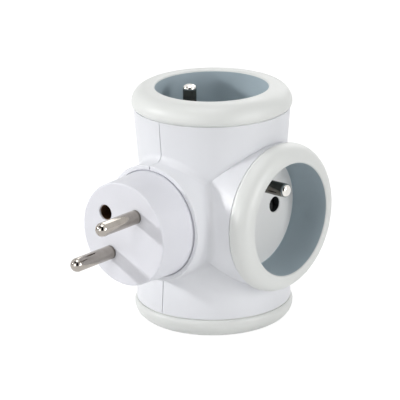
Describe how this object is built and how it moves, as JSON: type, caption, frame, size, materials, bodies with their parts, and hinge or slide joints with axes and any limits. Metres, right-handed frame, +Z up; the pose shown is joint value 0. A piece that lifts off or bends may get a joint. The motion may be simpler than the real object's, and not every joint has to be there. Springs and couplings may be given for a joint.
{
  "type": "multi socket adapter",
  "caption": "White plug-in mains adapter: a waisted barrel with recessed round sockets on its ends and side, an earthed plug on a collar, and sprung shutters behind the contact holes.",
  "frame": {"origin": "middle of the bottom ring's crest, on the barrel axis", "axes": "+Z up the barrel axis, the plug points along -Y and the side socket along +X"},
  "size_m": [0.0629, 0.094, 0.0832],
  "materials": {
    "housing_white": "smooth cool white moulding, soft gloss",
    "socket_white": "smooth warm white moulding, soft gloss",
    "insert_white": "smooth white moulding, soft gloss",
    "pin_nickel": "nickel-plated, polished",
    "contact_brass": "bare, stamped or turned",
    "tray_grey": "matt",
    "shutter_dark": "matt",
    "spring_steel": "drawn wire"
  },
  "bodies": {
    "adapter": {"housing_left": "housing_white", "housing_right": "housing_white", "socket_front_top": "socket_white", "socket_front_bottom": "socket_white", "socket_front_side": "socket_white", "plug_insert": "insert_white", "plug_pin_upper": "pin_nickel", "plug_pin_lower": "pin_nickel", "earth_pin_top": "pin_nickel", "earth_pin_bottom": "pin_nickel", "earth_pin_side": "pin_nickel", "plug_earth_contact": "contact_brass", "front_contact_strip": "contact_brass", "rear_contact_strip": "contact_brass", "earth_strip": "contact_brass", "front_sleeve_top": "contact_brass", "rear_sleeve_top": "contact_brass", "front_sleeve_bottom": "contact_brass", "rear_sleeve_bottom": "contact_brass", "front_sleeve_side": "contact_brass", "rear_sleeve_side": "contact_brass", "shutter_tray_top": "tray_grey", "shutter_tray_bottom": "tray_grey", "shutter_tray_side": "tray_grey", "shutter_spring_top": "spring_steel", "shutter_spring_bottom": "spring_steel", "shutter_spring_side": "spring_steel"},
    "shutter_top": {"shutter_top": "shutter_dark"},
    "shutter_bottom": {"shutter_bottom": "shutter_dark"},
    "shutter_side": {"shutter_side": "shutter_dark"}
  },
  "joints": [
    {"name": "shutter_slide_top", "type": "slide", "parent": "adapter", "child": "shutter_top", "axis": [1, 0, 0], "range_m": [0, 0.006], "stiffness_N_per_m": 150, "springref_m": -0.006, "deforming": ["shutter_spring_top"]},
    {"name": "shutter_slide_bottom", "type": "slide", "parent": "adapter", "child": "shutter_bottom", "axis": [1, 0, 0], "range_m": [0, 0.006], "stiffness_N_per_m": 150, "springref_m": -0.006, "deforming": ["shutter_spring_bottom"]},
    {"name": "shutter_slide_side", "type": "slide", "parent": "adapter", "child": "shutter_side", "axis": [0, 0, -1], "range_m": [0, 0.006], "stiffness_N_per_m": 150, "springref_m": -0.006, "deforming": ["shutter_spring_side"]}
  ]
}
